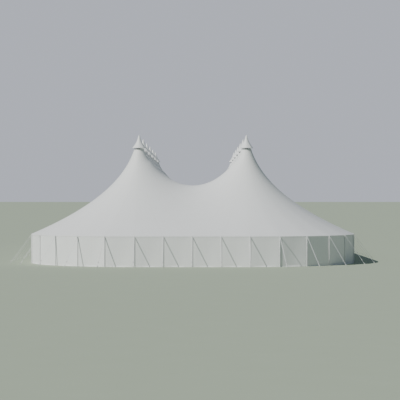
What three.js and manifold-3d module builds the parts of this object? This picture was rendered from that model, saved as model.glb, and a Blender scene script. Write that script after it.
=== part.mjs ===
// Circus big top tent with two rows of six king poles, a 1:10 scale model in millimetres.
// Origin: on the ground, under the centre of the plan. +Z up, +Y along the tent, the front end at -Y.
import * as THREE from "three";
import { mergeVertices } from "three/addons/utils/BufferGeometryUtils.js";
import Module from "manifold-3d";

const wasm = await Module();
wasm.setup();

// Plan. King poles stand one module apart, and the eave runs one module outside them.
const MODULE = 1400;
const ROWS = 6;
const POLE_X = MODULE / 2;
const LAST_ROW_Y = ((ROWS - 1) * MODULE) / 2;
const BAYS_PER_MODULE = 4;
const BAYS_PER_CORNER = 6;
const JOINT_GAP = 0.3;

// Heights and the roof's form. The effective reach is the distance from a single king pole
// at which its cone is as low as the saddle between two poles.
const EAVE_HEIGHT = 370.5;
const RING_HEIGHT = 1482;
const RING_RADIUS = 59;
const FLARE_POWER = 0.37;
const SADDLE_REACH = 366;
const ROUND_NECK = 130;
const MEMBRANE = 4;
const NECK_STEPS = 6;
const FLANK_STEPS = 9;
const STEP_GROWTH = 1.45;
const SLOPE_STEP = 0.5;

// Walls, hung just inside the side poles.
const WALL_FACE = MODULE - 2;
const WALL_TOP = 366.6;

// Side poles, the eave rope that links their heads, flat guy straps and stakes.
const ROPE_LINE = MODULE + 2.2;
const ROPE_RADIUS = 2.2;
const ROPE_HEIGHT = 369.1;
const SIDE_POLE_LINE = MODULE + 4.6;
const SIDE_POLE_RADIUS = 3.8;
const SIDE_POLE_SIDES = 6;
const ROPE_END_CLEARANCE = 0.8;
const GUY_WIDTH = 9;
const GUY_THICKNESS = 3;
const GUY_START = 2.8;
const GUY_END = 268.5;
const STAKE_REACH = 270;
const STAKE_WIDTH = 6;
const STAKE_HEIGHT = 24;
const GUY_TIE_HEIGHT = 14;
const GUY_DROP = 3;

// King poles with their foot plates and bale rings.
const KING_POLE_RADIUS = 16;
const KING_POLE_SIDES = 8;
const KING_POLE_HEIGHT = 1530;
const FOOT_WIDTH = 90;
const FOOT_THICKNESS = 5;
const BALE_RING_OUTER = 55.4;
const BALE_RING_INNER = 48;
const BALE_RING_LOW = 1467;
const BALE_RING_HIGH = 1479;
const BALE_RING_SIDES = 12;
const SPOKES = 4;
const SPOKE_WIDTH = 7;
const SPOKE_LOW = 1469;
const SPOKE_HIGH = 1477;

// Rain caps: flared cones over the bale rings.
const BRIM_HEIGHT = 1489;
const CAP_SIDES = 12;
const CAP_OUTSIDE = [
  [90, 0],
  [76, 17],
  [56, 45],
  [39, 72],
  [25, 104],
  [12, 148],
  [0, 173],
];
const CAP_SOCKET_RADIUS = 20;
const CAP_SOCKET_TOP = BRIM_HEIGHT + 41.3;
const CAP_INSIDE = [
  [0, CAP_SOCKET_TOP - BRIM_HEIGHT],
  [CAP_SOCKET_RADIUS, CAP_SOCKET_TOP - BRIM_HEIGHT],
  [84, 2],
  [84, 0],
];

const roofCloth = new THREE.MeshStandardMaterial({ color: 0xe6e8e5, roughness: 0.62, side: THREE.DoubleSide });
const wallCloth = new THREE.MeshStandardMaterial({ color: 0xdfe1de, roughness: 0.66 });
const capCloth = new THREE.MeshStandardMaterial({ color: 0xeceeec, roughness: 0.55 });
const galvanised = new THREE.MeshStandardMaterial({ color: 0x9fa3a6, roughness: 0.45, metalness: 0.8 });
const paleSteel = new THREE.MeshStandardMaterial({ color: 0xc9cbca, roughness: 0.5, metalness: 0.4 });

const tent = new THREE.Group();

function addPiece(name, geometry, material) {
  const mesh = new THREE.Mesh(geometry, material);
  mesh.name = name;
  tent.add(mesh);
}

// Joining of solids

function toSolid(geometry) {
  const bare = new THREE.BufferGeometry();
  bare.setAttribute("position", geometry.getAttribute("position"));
  bare.setIndex(geometry.getIndex());
  const merged = mergeVertices(bare, 1e-4);
  const corners = new Float32Array(merged.getAttribute("position").array);
  const triangles = new Uint32Array(merged.getIndex().array);
  return new wasm.Manifold(new wasm.Mesh({ numProp: 3, vertProperties: corners, triVerts: triangles }));
}

function toGeometry(solid) {
  const mesh = solid.getMesh();
  const corners = new Float32Array(mesh.numVert * 3);
  for (let i = 0; i < mesh.numVert; i++) {
    corners.set(mesh.vertProperties.subarray(i * mesh.numProp, i * mesh.numProp + 3), i * 3);
  }
  const geometry = new THREE.BufferGeometry();
  geometry.setAttribute("position", new THREE.BufferAttribute(corners, 3));
  geometry.setIndex(new THREE.BufferAttribute(new Uint32Array(mesh.triVerts), 1));
  const flat = geometry.toNonIndexed();
  flat.computeVertexNormals();
  return flat;
}

function joined(geometries) {
  return toGeometry(geometries.map(toSolid).reduce((whole, next) => whole.add(next)));
}

// A straight bar of any number of sides between two points.
function bar(start, end, radius, sides) {
  const from = new THREE.Vector3(...start);
  const along = new THREE.Vector3(...end).sub(from);
  const geometry = new THREE.CylinderGeometry(radius, radius, along.length(), sides);
  geometry.translate(0, along.length() / 2, 0);
  const turn = new THREE.Quaternion().setFromUnitVectors(new THREE.Vector3(0, 1, 0), along.normalize());
  return geometry.applyQuaternion(turn).translate(from.x, from.y, from.z);
}

// A flat strap between two points, with its width along a level direction square to it.
function strap(start, end, across, width, thickness) {
  const from = new THREE.Vector3(...start);
  const along = new THREE.Vector3(...end).sub(from);
  const geometry = new THREE.BoxGeometry(width, along.length(), thickness);
  geometry.translate(0, along.length() / 2, 0);
  const side = new THREE.Vector3(...across);
  const way = along.normalize();
  const turn = new THREE.Matrix4().makeBasis(side, way, side.clone().cross(way));
  return geometry.applyMatrix4(turn).translate(from.x, from.y, from.z);
}

// A solid of revolution about +Z from a profile of [radius, height] points, listed bottom to top outside.
function turned(profile, sides, baseHeight) {
  const points = profile.map(([radius, height]) => new THREE.Vector2(radius, height));
  return new THREE.LatheGeometry(points, sides).rotateX(Math.PI / 2).translate(0, 0, baseHeight);
}

// The roof's form

function coneHeight(reach) {
  const top = RING_RADIUS ** FLARE_POWER;
  const bottom = MODULE ** FLARE_POWER;
  const fall = (reach ** FLARE_POWER - top) / (bottom - top);
  return RING_HEIGHT - (RING_HEIGHT - EAVE_HEIGHT) * fall;
}

// At a round end the eave is straight from side pole to side pole, so in the middle of a bay it lies
// nearer than a module. This puts a place outside the poles as far out as it would be on the round plan.
function roundedDistance(outX, outY) {
  const distance = Math.hypot(outX, outY);
  const bayAngle = Math.PI / 2 / BAYS_PER_CORNER;
  const fromMiddle = (Math.atan2(outY, outX) % bayAngle) - bayAngle / 2;
  const stretch = Math.cos(fromMiddle) / Math.cos(bayAngle / 2);
  return distance * THREE.MathUtils.lerp(1, stretch, (distance / MODULE) ** 2);
}

// How far along the way from a king pole (0) to the middle between two poles (1) a place lies.
function betweenPoles(place, lastPole) {
  return Math.abs(place) < lastPole ? Math.cos((Math.PI * place) / MODULE) ** 2 : 0;
}

function nearestPole(x, y) {
  const row = Math.min(Math.max(Math.round((y + LAST_ROW_Y) / MODULE), 0), ROWS - 1);
  return [x < 0 ? -POLE_X : POLE_X, row * MODULE - LAST_ROW_Y];
}

function roofHeight(x, y) {
  const outside = roundedDistance(Math.max(Math.abs(x) - POLE_X, 0), Math.max(Math.abs(y) - LAST_ROW_Y, 0));
  const across = betweenPoles(x, POLE_X);
  const along = betweenPoles(y, LAST_ROW_Y);
  const saddle = 1 - (1 - across) * (1 - along);
  const fade = 1 - (outside / MODULE) ** 2;
  const reach = Math.sqrt(outside ** 2 + SADDLE_REACH ** 2 * saddle * fade);
  const [poleX, poleY] = nearestPole(x, y);
  const radius = Math.hypot(x - poleX, y - poleY);
  const round = THREE.MathUtils.smoothstep(radius, RING_RADIUS, RING_RADIUS + ROUND_NECK);
  return coneHeight(THREE.MathUtils.lerp(radius, reach, round));
}

function roofNormal(x, y) {
  const slopeX = (roofHeight(x + SLOPE_STEP, y) - roofHeight(x - SLOPE_STEP, y)) / (2 * SLOPE_STEP);
  const slopeY = (roofHeight(x, y + SLOPE_STEP) - roofHeight(x, y - SLOPE_STEP)) / (2 * SLOPE_STEP);
  return new THREE.Vector3(-slopeX, -slopeY, 1).normalize();
}

// Outer edge of one quarter of a king pole's field, as offsets from the pole in its first quadrant:
// the heads of the side poles at a corner of the tent, and two straight edges elsewhere.
function quarterEdge(reachX, reachY) {
  const edge = [];
  if (reachX === MODULE && reachY === MODULE) {
    for (let i = 0; i <= BAYS_PER_CORNER; i++) {
      const angle = ((Math.PI / 2) * i) / BAYS_PER_CORNER;
      edge.push([MODULE * Math.cos(angle), MODULE * Math.sin(angle)]);
    }
    return edge;
  }
  const sideSteps = Math.round((FLANK_STEPS * reachY) / (reachX + reachY));
  const endSteps = FLANK_STEPS - sideSteps;
  for (let i = 0; i <= sideSteps; i++) edge.push([reachX, (reachY * i) / sideSteps]);
  for (let i = 1; i <= endSteps; i++) edge.push([reachX * (1 - i / endSteps), reachY]);
  return edge;
}

// Lines of plan points from evenly spaced places on the ring out to the edge, closer together near the ring.
function quarterPoints(poleX, poleY, turnX, turnY) {
  const reachX = turnX * poleX > 0 ? MODULE : MODULE / 2;
  const reachY = turnY * poleY > 0 && Math.abs(poleY) === LAST_ROW_Y ? MODULE : MODULE / 2;
  return quarterEdge(reachX, reachY).map(([edgeX, edgeY], step, edge) => {
    const angle = ((Math.PI / 2) * step) / (edge.length - 1);
    const ringX = RING_RADIUS * Math.cos(angle);
    const ringY = RING_RADIUS * Math.sin(angle);
    const line = [];
    for (let i = 0; i <= NECK_STEPS; i++) {
      const share = (STEP_GROWTH ** i - 1) / (STEP_GROWTH ** NECK_STEPS - 1);
      const x = THREE.MathUtils.lerp(ringX, edgeX, share);
      const y = THREE.MathUtils.lerp(ringY, edgeY, share);
      line.push([poleX + turnX * x, poleY + turnY * y]);
    }
    return line;
  });
}

// One laced section of the roof, as a shell of the membrane's thickness between two pole rows.
function roofSection(quarters, lowY, highY) {
  const corners = [];
  const seen = new Map();
  const faces = [];

  function corner([x, y]) {
    const key = Math.round(x * 10) + " " + Math.round(y * 10);
    if (!seen.has(key)) {
      seen.set(key, corners.length);
      corners.push([x, y]);
    }
    return seen.get(key);
  }

  quarters.forEach(([poleX, poleY, turnX, turnY]) => {
    const lines = quarterPoints(poleX, poleY, turnX, turnY);
    const mirrored = turnX * turnY < 0;
    for (let i = 0; i < lines.length - 1; i++) {
      for (let j = 0; j < NECK_STEPS; j++) {
        const patch = [lines[i][j], lines[i][j + 1], lines[i + 1][j + 1], lines[i + 1][j]].map(corner);
        if (mirrored) patch.reverse();
        faces.push([patch[0], patch[1], patch[2]], [patch[0], patch[2], patch[3]]);
      }
    }
  });

  const outline = new Map();
  faces.forEach((face) =>
    face.forEach((a, i) => {
      const b = face[(i + 1) % 3];
      if (!outline.delete(b + " " + a)) outline.set(a + " " + b, [a, b]);
    }),
  );

  const count = corners.length;
  const positions = new Float32Array(count * 6);
  corners.forEach(([x, y], i) => {
    const normal = roofNormal(x, y);
    const onLow = Math.abs(y - lowY) < 1;
    const onHigh = Math.abs(y - highY) < 1;
    if (onLow || onHigh) normal.setY(0).normalize();
    const placedY = y + (onLow ? JOINT_GAP / 2 : 0) - (onHigh ? JOINT_GAP / 2 : 0);
    const top = new THREE.Vector3(x, placedY, roofHeight(x, y));
    top.toArray(positions, i * 3);
    top.addScaledVector(normal, -MEMBRANE).toArray(positions, (count + i) * 3);
  });

  const index = [];
  faces.forEach(([a, b, c]) => index.push(a, b, c, a + count, c + count, b + count));
  outline.forEach(([a, b]) => index.push(a, a + count, b + count, a, b + count, b));
  const geometry = new THREE.BufferGeometry();
  geometry.setAttribute("position", new THREE.BufferAttribute(positions, 3));
  geometry.setIndex(index);
  const flat = geometry.toNonIndexed();
  flat.computeVertexNormals();
  return flat;
}

function buildRoof() {
  const sides = [-1, 1];
  const ends = [
    ["roof_front_end", -LAST_ROW_Y, -1],
    ["roof_rear_end", LAST_ROW_Y, 1],
  ];
  ends.forEach(([name, poleY, turnY]) => {
    const quarters = sides.flatMap((side) => sides.map((turnX) => [side * POLE_X, poleY, turnX, turnY]));
    const lowY = turnY > 0 ? poleY : -Infinity;
    const highY = turnY < 0 ? poleY : Infinity;
    addPiece(name, roofSection(quarters, lowY, highY), roofCloth);
  });
  for (let row = 0; row < ROWS - 1; row++) {
    const lowY = row * MODULE - LAST_ROW_Y;
    const highY = lowY + MODULE;
    const quarters = sides.flatMap((side) =>
      sides.flatMap((turnX) => [
        [side * POLE_X, lowY, turnX, 1],
        [side * POLE_X, highY, turnX, -1],
      ]),
    );
    addPiece("roof_middle_" + (row + 1), roofSection(quarters, lowY, highY), roofCloth);
  }
}

// The perimeter: eight runs of bays, four straight and four round

function straightRun(startX, startY, endX, endY, bays, outX, outY) {
  const stations = [];
  for (let i = 0; i <= bays; i++) {
    const share = i / bays;
    stations.push({ x: startX + (endX - startX) * share, y: startY + (endY - startY) * share, outX, outY });
  }
  return stations;
}

function cornerRun(turnX, turnY) {
  const stations = [];
  for (let i = 0; i <= BAYS_PER_CORNER; i++) {
    const angle = ((Math.PI / 2) * i) / BAYS_PER_CORNER;
    const outX = turnX * Math.cos(angle);
    const outY = turnY * Math.sin(angle);
    stations.push({ x: turnX * POLE_X, y: turnY * LAST_ROW_Y, outX, outY });
  }
  return turnX * turnY > 0 ? stations : stations.reverse();
}

const SIDE_BAYS = BAYS_PER_MODULE * (ROWS - 1);
const runs = {
  front: straightRun(-POLE_X, -LAST_ROW_Y, POLE_X, -LAST_ROW_Y, BAYS_PER_MODULE, 0, -1),
  front_right: cornerRun(1, -1),
  right: straightRun(POLE_X, -LAST_ROW_Y, POLE_X, LAST_ROW_Y, SIDE_BAYS, 1, 0),
  rear_right: cornerRun(1, 1),
  rear: straightRun(POLE_X, LAST_ROW_Y, -POLE_X, LAST_ROW_Y, BAYS_PER_MODULE, 0, 1),
  rear_left: cornerRun(-1, 1),
  left: straightRun(-POLE_X, LAST_ROW_Y, -POLE_X, -LAST_ROW_Y, SIDE_BAYS, -1, 0),
  front_left: cornerRun(-1, -1),
};

function outAt(station, distance, height) {
  return [station.x + station.outX * distance, station.y + station.outY * distance, height];
}

// Shifts both ends of a run inwards along the run, so that neighbours keep a joint's gap.
function shortened(line, trim) {
  const ends = [
    [0, 1],
    [line.length - 1, line.length - 2],
  ];
  const kept = line.map((point) => [...point]);
  ends.forEach(([end, next]) => {
    const along = new THREE.Vector2(line[next][0] - line[end][0], line[next][1] - line[end][1]).setLength(trim);
    kept[end][0] += along.x;
    kept[end][1] += along.y;
  });
  return kept;
}

function wallRun(run) {
  const outer = shortened(run.map((station) => outAt(station, WALL_FACE, 0)), JOINT_GAP / 2);
  const inner = shortened(run.map((station) => outAt(station, WALL_FACE - MEMBRANE, 0)), JOINT_GAP / 2);
  const outline = [...outer, ...inner.reverse()].map(([x, y]) => new THREE.Vector2(x, y));
  return new THREE.ExtrudeGeometry(new THREE.Shape(outline), { depth: WALL_TOP, bevelEnabled: false });
}

// A straight run has one rope and owns the side poles at its ends. A round run's rope bends at each pole.
function riggingRun(run, ownsEnds) {
  const trim = ownsEnds ? 0 : SIDE_POLE_RADIUS + ROPE_END_CLEARANCE;
  const rope = shortened(run.map((station) => outAt(station, ROPE_LINE, ROPE_HEIGHT)), trim);
  const corners = ownsEnds ? [rope[0], rope[rope.length - 1]] : rope;
  const pieces = corners.slice(1).map((end, i) => bar(corners[i], end, ROPE_RADIUS, 4));
  run.forEach((station, i) => {
    const isEnd = i === 0 || i === run.length - 1;
    if (isEnd && !ownsEnds) return;
    const foot = outAt(station, SIDE_POLE_LINE, 0);
    const head = outAt(station, SIDE_POLE_LINE, ROPE_HEIGHT);
    const hitch = outAt(station, SIDE_POLE_LINE + GUY_START, ROPE_HEIGHT - GUY_DROP);
    const tie = outAt(station, SIDE_POLE_LINE + GUY_END, GUY_TIE_HEIGHT);
    const stakeFoot = outAt(station, SIDE_POLE_LINE + STAKE_REACH, 0);
    const stakeHead = outAt(station, SIDE_POLE_LINE + STAKE_REACH, STAKE_HEIGHT);
    pieces.push(bar(foot, head, SIDE_POLE_RADIUS, SIDE_POLE_SIDES));
    pieces.push(strap(hitch, tie, [-station.outY, station.outX, 0], GUY_WIDTH, GUY_THICKNESS));
    pieces.push(bar(stakeFoot, stakeHead, STAKE_WIDTH / 2, 4));
  });
  return joined(pieces);
}

function buildPerimeter() {
  Object.entries(runs).forEach(([place, run]) => {
    const isCorner = place.includes("_");
    addPiece("wall_" + place, wallRun(run), wallCloth);
    addPiece("side_poles_and_guys_" + place, riggingRun(run, !isCorner), paleSteel);
  });
}

// King poles and caps

function kingPole() {
  const pole = bar([0, 0, 0], [0, 0, KING_POLE_HEIGHT], KING_POLE_RADIUS, KING_POLE_SIDES);
  const foot = new THREE.BoxGeometry(FOOT_WIDTH, FOOT_WIDTH, FOOT_THICKNESS).translate(0, 0, FOOT_THICKNESS / 2);
  const ringProfile = [
    [BALE_RING_INNER, BALE_RING_LOW],
    [BALE_RING_OUTER, BALE_RING_LOW],
    [BALE_RING_OUTER, BALE_RING_HIGH],
    [BALE_RING_INNER, BALE_RING_HIGH],
    [BALE_RING_INNER, BALE_RING_LOW],
  ];
  const pieces = [pole, foot, turned(ringProfile, BALE_RING_SIDES, 0)];
  for (let i = 0; i < SPOKES; i++) {
    const length = (BALE_RING_INNER + BALE_RING_OUTER) / 2;
    const spoke = new THREE.BoxGeometry(length, SPOKE_WIDTH, SPOKE_HIGH - SPOKE_LOW);
    spoke.translate(length / 2, 0, (SPOKE_LOW + SPOKE_HIGH) / 2);
    pieces.push(spoke.rotateZ((2 * Math.PI * i) / SPOKES));
  }
  return joined(pieces);
}

function rainCap() {
  return turned([...CAP_INSIDE, ...CAP_OUTSIDE], CAP_SIDES, BRIM_HEIGHT);
}

function buildKingPoles() {
  const sides = [
    ["left", -POLE_X],
    ["right", POLE_X],
  ];
  sides.forEach(([side, x]) => {
    for (let row = 0; row < ROWS; row++) {
      const y = row * MODULE - LAST_ROW_Y;
      const place = side + "_" + (row + 1);
      addPiece("king_pole_" + place, kingPole().translate(x, y, 0), galvanised);
      addPiece("rain_cap_" + place, rainCap().translate(x, y, 0), capCloth);
    }
  });
}

buildRoof();
buildPerimeter();
buildKingPoles();

export default tent;
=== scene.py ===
"""Circus big top tent at 1:10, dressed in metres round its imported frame.

The front end is at -Y, the right side at +X and the ground at Z = 0.
"""
import math

import bmesh
import bpy
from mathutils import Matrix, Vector


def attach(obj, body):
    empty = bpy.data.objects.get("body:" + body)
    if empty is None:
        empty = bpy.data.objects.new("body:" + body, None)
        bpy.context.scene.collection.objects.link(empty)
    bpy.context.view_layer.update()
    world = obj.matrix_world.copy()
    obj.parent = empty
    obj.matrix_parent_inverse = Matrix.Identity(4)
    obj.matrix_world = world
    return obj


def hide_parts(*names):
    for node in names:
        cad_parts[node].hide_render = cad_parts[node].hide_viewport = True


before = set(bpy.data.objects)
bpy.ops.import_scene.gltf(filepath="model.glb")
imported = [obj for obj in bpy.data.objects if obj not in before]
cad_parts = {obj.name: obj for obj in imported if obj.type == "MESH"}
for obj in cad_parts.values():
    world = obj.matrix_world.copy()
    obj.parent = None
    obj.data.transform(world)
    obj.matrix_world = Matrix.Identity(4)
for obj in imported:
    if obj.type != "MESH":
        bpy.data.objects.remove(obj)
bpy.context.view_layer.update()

# Plan: king poles one module apart, the eave one module outside them.
MODULE = 1.4
ROWS = 6
POLE_X = MODULE / 2
LAST_ROW_Y = (ROWS - 1) * MODULE / 2
ROW_PLACES = [row * MODULE - LAST_ROW_Y for row in range(ROWS)]
BAYS_PER_MODULE = 4
BAYS_PER_CORNER = 6
BAY_ANGLE = math.pi / 2 / BAYS_PER_CORNER
JOINT_GAP = 0.0003

# The roof's form, its cloth and the steps of its mesh.
EAVE_HEIGHT = 0.3705
RING_HEIGHT = 1.482
RING_RADIUS = 0.059
FLARE_POWER = 0.37
SADDLE_REACH = 0.366
ROUND_NECK = 0.13
ROOF_CLOTH = 0.0012
CLOTH_MERGE = 0.00002
CRISP_ANGLE = math.radians(40)
GORE_STEPS = 4
GORES_PER_QUARTER = 6
RISE_STEPS = 36
RISE_GROWTH = 1.06

# Cover flaps and lacing where two roof sections join.
FLAP_WIDTH = 0.016
FLAP_CLOTH = 0.0008
FLAP_CLEARANCE = 0.0009
FLAP_STEPS = 60
FLAP_FROM_RING = 0.004
FLAP_FROM_EAVE = 0.001
LACE_SPACING = 0.04
LACE_RISE = 0.0016
LACE_REACH = 0.005
LACE_RADIUS = 0.0007
LACE_STEPS = 6

# Walls. The lean gives how far inside the eave line the outer face hangs in the middle of a bay, at heights
# from the ground. At the side poles it is nothing.
WALL_LEAN = [
    (0.0, 0.0003),
    (0.0045, 0.0034),
    (0.009, 0.0064),
    (0.013, 0.0084),
    (0.024, 0.0086),
    (0.08, 0.0072),
    (0.185, 0.0046),
    (0.3, 0.0019),
    (0.345, 0.0005),
    (0.3666, 0.0),
]
WALL_TOP = 0.3666
WALL_CLOTH = 0.0012
WALL_BILLOW = 0.0016
BILLOW_ACROSS, BILLOW_UP = 1.5, 0.8
WALL_COLUMNS = 16
WALL_ROWS = 16
FOOT_ROWS = (0.0, 0.0045, 0.009, 0.013, 0.018, 0.024)
HEM_HEIGHT = 0.011
HEM_ROWS = (1.5, 1.01, 0.985, 0.5, 0.0)
HEM_RISE = 0.0004
HANGERS_PER_BAY = 7
HANGER_PINCH = 0.0005
PINCH_DEPTH = 0.03
PINCHED_FROM = 0.8
PEGS_PER_BAY = 2
PEG_LINE = MODULE - 0.0002

# Eave belt, side poles, guy straps and stakes.
BELT_LINE = MODULE + 0.00035
BELT_HEIGHT = 0.006
BELT_MIDDLE = 0.3673
BELT_THICKNESS = 0.0005
SIDE_POLE_LINE = MODULE + 0.0046
SIDE_POLE_RADIUS = 0.0037
GUY_WIDTH = 0.009
GUY_THICKNESS = 0.0009
GUY_REACH = 0.27
GUY_RING_REACH = 0.006
STAKE_RADIUS = 0.003
STAKE_HEIGHT = 0.024
RATCHET_SHARE = 0.86
GUY_HITCH = Vector((SIDE_POLE_RADIUS, 0.0, 0.3661))
GUY_TIE = Vector((GUY_REACH - STAKE_RADIUS, 0.0, 0.014))
GUY_ALONG = (GUY_TIE - GUY_HITCH).normalized()
GUY_UP = Vector((-GUY_ALONG.z, 0.0, GUY_ALONG.x))
GUY_START = GUY_HITCH + GUY_ALONG * GUY_RING_REACH

# King poles, bale rings and rain caps.
KING_POLE_RADIUS = 0.016
FOOT_WIDTH = 0.09
FOOT_THICKNESS = 0.005
COUPLING_HEIGHTS = (0.4, 0.8, 1.2)
BALE_RING_RADIUS = 0.0515
BALE_RING_HEIGHT = 1.473
SPOKES = 4
CLAMP_RADIUS = RING_RADIUS + 0.0014
CLAMP_HEIGHT = 1.4785
CLAMP_BOLTS = 12
BRIM_HEIGHT = 1.489
CAP_CLOTH = 0.0012
CAP_GORES = 8
CAP_SAG = 0.022
CAP_OUTSIDE = [
    (0.09, 0.0),
    (0.076, 0.017),
    (0.056, 0.045),
    (0.039, 0.072),
    (0.025, 0.104),
    (0.012, 0.148),
    (0.0022, 0.1715),
]
CAP_HOOP_RADIUS = 0.0812
CAP_HOOP_HEIGHT = BRIM_HEIGHT + 0.0034

# How many flat sides round parts have, and the steps between two points of a cap's outline.
MAST_SIDES, ROUND_SIDES, STAKE_SIDES, SMALL_SIDES = 24, 12, 10, 8
BOLT_SIDES, WIRE_SIDES, CORD_SIDES = 6, 6, 5
CAP_SIDES = 8 * CAP_GORES
CAP_STEPS = 5

# Small turned parts, as (radius, height) from the bottom up.
SIDE_POLE_TUBE = [(SIDE_POLE_RADIUS, 0.001), (SIDE_POLE_RADIUS, 0.3681), (0.0029, 0.3691)]
SIDE_POLE_SLEEVE = [(0.0045, 0.0014), (0.0045, 0.012), (SIDE_POLE_RADIUS, 0.0132)]
SIDE_POLE_PIN = [(0.0012, 0.3681), (0.0012, 0.3737), (0.0006, 0.3745)]
SIDE_POLE_BOLT = [(0.001, 0.0014), (0.001, 0.0022)]
STAKE_SHARES = [(1.0, 0.0), (1.0, 0.8), (1.25, 0.84), (1.3, 0.93), (0.8, 1.0)]
EYELET_RIM = [(0.0017, 0.0), (0.0013, 0.0007)]
PEG_COLLAR = [(0.0018, 0.0), (0.0018, 0.0016), (0.001, 0.0022)]
KING_POLE_TUBE = [(KING_POLE_RADIUS, 0.004), (KING_POLE_RADIUS, 1.526), (0.013, 1.53)]
KING_POLE_BOLT = [(0.004, 0.005), (0.004, 0.008), (0.0025, 0.009)]
CAP_BUTTON = [(0.0034, -0.0013), (0.0036, 0.0), (0.0022, 0.0016), (0.0008, 0.0026)]

# Hoops: radius, height, half width and half height of the section, its sides, and the ring's sides.
BALE_RING = (BALE_RING_RADIUS, BALE_RING_HEIGHT, 0.0038, 0.006, 10, 36)
NECK_CLAMP = (CLAMP_RADIUS, CLAMP_HEIGHT, 0.0012, 0.0028, 8, 48)
CAP_HEM = (CAP_OUTSIDE[0][0], BRIM_HEIGHT + 0.0006, 0.001, 0.0012, 8, CAP_SIDES)
CAP_HOOP = (CAP_HOOP_RADIUS, CAP_HOOP_HEIGHT, 0.0012, 0.0012, 6, 32)
STAKE_LOOP = (STAKE_RADIUS + 0.0005, GUY_TIE.z, 0.0006, 0.0026, 8, STAKE_SIDES)

# Collars round tubes: half height, how far they stand out, and chamfer.
HEAD_COLLAR = (0.005, 0.0005, 0.0007)
COUPLING = (0.008, 0.003, 0.001)
RING_SLEEVE = (0.016, 0.003, 0.001)

# Other small parts. Blocks are given by two corners.
SIDE_POLE_PLATE = ((-0.0042, -0.008, 0.0), (0.0118, 0.008, 0.0014))
SIDE_POLE_BOLT_PLACES = ((0.0098, -0.0058), (0.0098, 0.0058), (-0.0028, -0.0064), (-0.0028, 0.0064))
HEAD_COLLAR_HEIGHT = 0.3541
LUG_FROM_HITCH = ((-0.0005, -0.0009, -0.0026), (0.0022, 0.0009, 0.002))
RING_APEX_FROM_HITCH = (0.0014, 0.0, 0.0003)
RING_BESIDE_STRAP = 0.0008
RING_WIRE = 0.0006
STRAP_SHARES = (-0.004, 0.0, 0.03, 0.1, 0.11, 0.3, 0.5, 0.7, RATCHET_SHARE, 0.93, 0.94, 1.0)
SINGLE_STRAP = (0.105, 0.935)
SEWN_LAYERS = 1.8
RATCHET_BESIDE_STRAP = 0.0009
RATCHET_PLATES = (
    ((-0.007, -0.0004, -0.0012), (0.006, 0.0004, 0.0022)),
    ((-0.011, -0.0008, 0.0016), (0.003, -0.0001, 0.0042)),
)
RATCHET_PAWL = ((-0.005, 0.0006, 0.0026), (-0.003, -0.0006, 0.0034))
# The drum, the handle's grip and the tie bar: along the strap, over it, beyond the plates, radius and sides.
RATCHET_BARS = (
    (0.0, 0.0008, 0.0012, 0.0017, 10),
    (-0.011, 0.0034, 0.0, 0.0011, 8),
    (0.0055, 0.0, 0.0, 0.0006, 8),
)
EYELET_HEIGHT = -0.0062
HANGER_LOOP = ((-0.0006, -0.0062), (0.0004, -0.0058), (0.0012, -0.0024), (0.0012, 0.0036), (0.0004, 0.0044))
HANGER_RADIUS = 0.00045
PEG_BEND = 0.0018
PEG_BEND_HEIGHT = 0.009
PEG_ANGLES = (0.3, 0.9, 1.5, 2.1, 2.7)
PEG_FROM_WALL = 0.0012
PEG_RADIUS = 0.0009
TUBE_WELD = 0.9 * KING_POLE_RADIUS
GUSSET_REACH = 0.46 * FOOT_WIDTH
GUSSET_HALF_THICKNESS = 0.0015
GUSSET_TOP = 0.05
FOOT_BOLT_PLACES = (-0.38 * FOOT_WIDTH, 0.38 * FOOT_WIDTH)
SPOKE_RADIUS = 0.0032
CLAMP_BOLT_SINK, CLAMP_BOLT_LENGTH, CLAMP_BOLT_RADIUS = 0.0004, 0.0034, 0.0018
CAP_LINING_INSET, CAP_LINING_DROP = 1.1 * CAP_CLOTH, 0.3 * CAP_CLOTH
CAP_LINING_TIP = 0.0011
CAP_RIB_FOOT_RADIUS, CAP_RIB_FOOT_HEIGHT = 0.0155, BRIM_HEIGHT + 0.01
CAP_RIB_RADIUS = 0.0009

# Cloth finishes: colour, tone of two layers, dirt, roughness, half a seam's width, and the heights between
# which dust thins out.
CLOTH_FINISHES = {
    "roof_membrane": ((0.80, 0.81, 0.80), (0.86, 0.87, 0.86), (0.62, 0.62, 0.58), 0.58, 0.003, 0.3, 0.42),
    "wall_membrane": ((0.81, 0.825, 0.81), (0.86, 0.87, 0.86), (0.62, 0.62, 0.57), 0.62, 0.0022, 0.0, 0.07),
    "cap_membrane": ((0.82, 0.83, 0.82), (0.88, 0.89, 0.88), (0.62, 0.62, 0.58), 0.5, 0.0014, 1.45, 1.52),
}
SEAM_WHITENESS, SEAM_SHINE, SEAM_RELIEF = 0.6, 0.06, 0.12
EDGE_SHADE, SOIL_SHADE, TONE_SHADE = 0.65, 0.24, 0.12
SOIL_DULLS, TONE_DULLS = 0.15, 0.05
CLOTH_SPECULAR = 0.35
# Zinc finishes: pale tone, dark tone, roughness, how metallic, and crystals a metre.
ZINC_FINISHES = {
    "king_pole_zinc": ((0.6, 0.61, 0.62), (0.4, 0.41, 0.42), 0.38, 0.85, 90.0),
    # The neck clamps' zinc is darker than the king poles': painted shade for the band under each cap's brim.
    "neck_clamp_zinc": ((0.44, 0.45, 0.46), (0.28, 0.29, 0.3), 0.45, 0.7, 300.0),
    "side_pole_zinc": ((0.74, 0.75, 0.74), (0.6, 0.61, 0.61), 0.45, 0.25, 420.0),
    "ratchet_zinc": ((0.74, 0.74, 0.73), (0.58, 0.58, 0.57), 0.45, 0.4, 600.0),
}
# Webbing finishes: colour, shade between its ribs, and ribs a metre.
WEBBING_FINISHES = {
    "guy_webbing": ((0.73, 0.74, 0.72), (0.6, 0.61, 0.59), 900.0),
    "eave_webbing": ((0.87, 0.88, 0.87), (0.8, 0.81, 0.8), 700.0),
    "lacing_cord": ((0.74, 0.74, 0.71), (0.5, 0.5, 0.47), 1600.0),
}
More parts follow.
